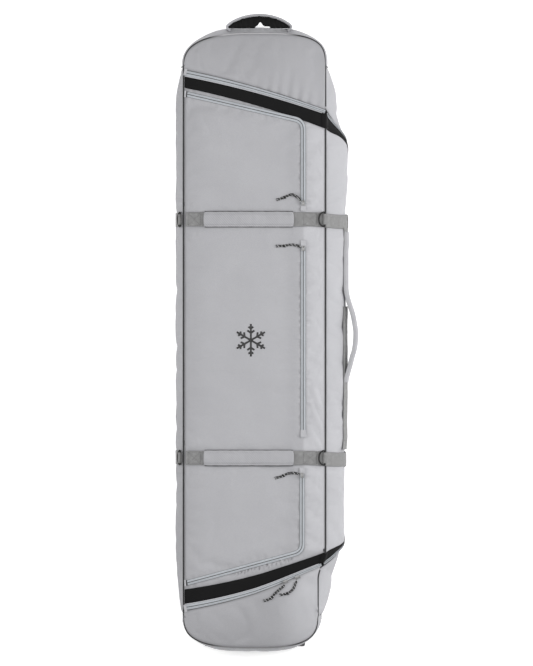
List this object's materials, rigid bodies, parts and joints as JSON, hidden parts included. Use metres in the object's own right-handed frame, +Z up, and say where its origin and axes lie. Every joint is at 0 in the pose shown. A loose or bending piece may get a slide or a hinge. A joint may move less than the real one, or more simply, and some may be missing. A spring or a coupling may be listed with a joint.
{
  "type": "wheeled snowboard travel bag",
  "caption": "Long padded board bag lying flat, with a side-hinged zipped lid, front pockets, wrap and carry handles, straps and two wheels.",
  "frame": {"origin": "on the floor, under the middle of the bag's whole box, with the bag lying on its back", "axes": "+Y along the bag towards the tow handle, +X towards the side that opens, +Z up out of the front face"},
  "size_m": [0.5142, 1.7638, 0.2195],
  "materials": {
    "shell_fabric": "light grey coated twill, padded",
    "band_fabric": "black coated fabric band beside the main zip",
    "lining_fabric": "dark grey lining over foam",
    "webbing": "grey woven polyester webbing",
    "sleeve_fabric": "light grey padded handle sleeve",
    "zip_tape": "bluish grey zip tape with a nylon coil",
    "black_plastic": "black moulded nylon",
    "slider_metal": "grey painted die-cast zip slider",
    "pull_cord": "black and white braided cord",
    "axle_steel": "plain steel pin",
    "hub_plastic": "grey moulded hub",
    "tyre_rubber": "black polyurethane tyre"
  },
  "bodies": {
    "base": {"back_panel": "shell_fabric", "base_pad": "lining_fabric", "left_gusset": "shell_fabric", "right_base_wall": "shell_fabric", "upper_right_gusset": "shell_fabric", "lower_right_gusset": "shell_fabric", "top_gusset": "shell_fabric", "wheel_end_gusset": "shell_fabric", "upper_front_panel": "shell_fabric", "lower_front_panel": "shell_fabric", "main_zip_upper": "zip_tape", "main_zip_lower": "zip_tape", "main_zip_side": "zip_tape", "wheel_housing": "black_plastic", "axle_left": "axle_steel", "axle_right": "axle_steel", "skid_rail_left": "black_plastic", "skid_rail_right": "black_plastic", "left_strap_upper": "webbing", "left_strap_lower": "webbing", "buckle_socket_upper": "black_plastic", "buckle_socket_lower": "black_plastic", "inner_strap_upper": "lining_fabric", "inner_strap_lower": "lining_fabric", "inner_buckle_upper": "black_plastic", "inner_buckle_lower": "black_plastic"},
    "lid": {"lid_panel": "shell_fabric", "lid_gusset": "shell_fabric", "lid_pad": "lining_fabric", "lid_band_upper": "band_fabric", "lid_band_lower": "band_fabric", "lid_strap_upper": "webbing", "lid_strap_lower": "webbing", "buckle_plug_upper": "black_plastic", "buckle_plug_lower": "black_plastic", "upper_pocket_zip": "zip_tape", "centre_pocket_zip": "zip_tape", "lower_pocket_zip": "zip_tape"},
    "ring_left_upper": {"ring_left_upper": "black_plastic"},
    "ring_left_lower": {"ring_left_lower": "black_plastic"},
    "ring_right_upper": {"ring_right_upper": "black_plastic"},
    "ring_right_lower": {"ring_right_lower": "black_plastic"},
    "wrap_upper": {"wrap_sleeve_upper": "sleeve_fabric"},
    "wrap_lower": {"wrap_sleeve_lower": "sleeve_fabric"},
    "side_handle": {"side_handle": "sleeve_fabric"},
    "tow_handle": {"tow_handle": "shell_fabric"},
    "slider_upper_pocket": {"slider_upper_pocket": "slider_metal", "pull_cord_upper_pocket": "pull_cord"},
    "slider_centre_pocket": {"slider_centre_pocket": "slider_metal", "pull_cord_centre_pocket": "pull_cord"},
    "slider_lower_pocket": {"slider_lower_pocket": "slider_metal", "pull_cord_lower_pocket": "pull_cord"},
    "slider_main_left": {"slider_main_left": "slider_metal", "pull_cord_main_left": "pull_cord"},
    "slider_main_right": {"slider_main_right": "slider_metal", "pull_cord_main_right": "pull_cord"},
    "wheel_left": {"wheel_hub_left": "hub_plastic", "tyre_left": "tyre_rubber"},
    "wheel_right": {"wheel_hub_right": "hub_plastic", "tyre_right": "tyre_rubber"}
  },
  "joints": [
    {"name": "lid_hinge", "type": "hinge", "parent": "base", "child": "lid", "pos_m": [-0.2328, -0.01713, 0.19], "axis": [0, -1, 0], "range_deg": [0, 150]},
    {"name": "ring_left_upper_swing", "type": "hinge", "parent": "base", "child": "ring_left_upper", "pos_m": [-0.24399, 0.31587, 0.17071], "axis": [0, 1, 0], "range_deg": [0, 60]},
    {"name": "ring_left_lower_swing", "type": "hinge", "parent": "base", "child": "ring_left_lower", "pos_m": [-0.24399, -0.34513, 0.17071], "axis": [0, 1, 0], "range_deg": [0, 60]},
    {"name": "ring_right_upper_swing", "type": "hinge", "parent": "lid", "child": "ring_right_upper", "pos_m": [0.1582, 0.31587, 0.19854], "axis": [0, 1, 0], "range_deg": [0, 110]},
    {"name": "ring_right_lower_swing", "type": "hinge", "parent": "lid", "child": "ring_right_lower", "pos_m": [0.1582, -0.34513, 0.19854], "axis": [0, 1, 0], "range_deg": [0, 110]},
    {"name": "wrap_upper_lift", "type": "slide", "parent": "lid", "child": "wrap_upper", "axis": [0, 0, 1], "range_m": [0, 0.022]},
    {"name": "wrap_lower_lift", "type": "slide", "parent": "lid", "child": "wrap_lower", "axis": [0, 0, 1], "range_m": [0, 0.022]},
    {"name": "side_handle_swing", "type": "hinge", "parent": "lid", "child": "side_handle", "pos_m": [0.21826, 0.07287, 0.13347], "axis": [0, -1, 0], "range_deg": [0, 75]},
    {"name": "tow_handle_swing", "type": "hinge", "parent": "base", "child": "tow_handle", "pos_m": [-0.0243, 0.85187, 0.138], "axis": [1, 0, 0], "range_deg": [0, 75]},
    {"name": "upper_pocket_zip_travel", "type": "slide", "parent": "lid", "child": "slider_upper_pocket", "axis": [0, 1, 0], "range_m": [0, 0.16]},
    {"name": "centre_pocket_zip_travel", "type": "slide", "parent": "lid", "child": "slider_centre_pocket", "axis": [0, -1, 0], "range_m": [0, 0.49]},
    {"name": "lower_pocket_zip_travel", "type": "slide", "parent": "lid", "child": "slider_lower_pocket", "axis": [0, -1, 0], "range_m": [0, 0.14]},
    {"name": "main_zip_left_travel", "type": "slide", "parent": "base", "child": "slider_main_left", "axis": [-0.9404, -0.3401, 0], "range_m": [0, 0.06]},
    {"name": "main_zip_right_travel", "type": "slide", "parent": "base", "child": "slider_main_right", "axis": [0.9404, 0.3401, 0], "range_m": [0, 0.03]},
    {"name": "wheel_left_spin", "type": "hinge", "parent": "base", "child": "wheel_left", "pos_m": [-0.1648, -0.83813, 0.04], "axis": [1, 0, 0], "continuous": true},
    {"name": "wheel_right_spin", "type": "hinge", "parent": "base", "child": "wheel_right", "pos_m": [0.0912, -0.83813, 0.04], "axis": [1, 0, 0], "continuous": true}
  ]
}
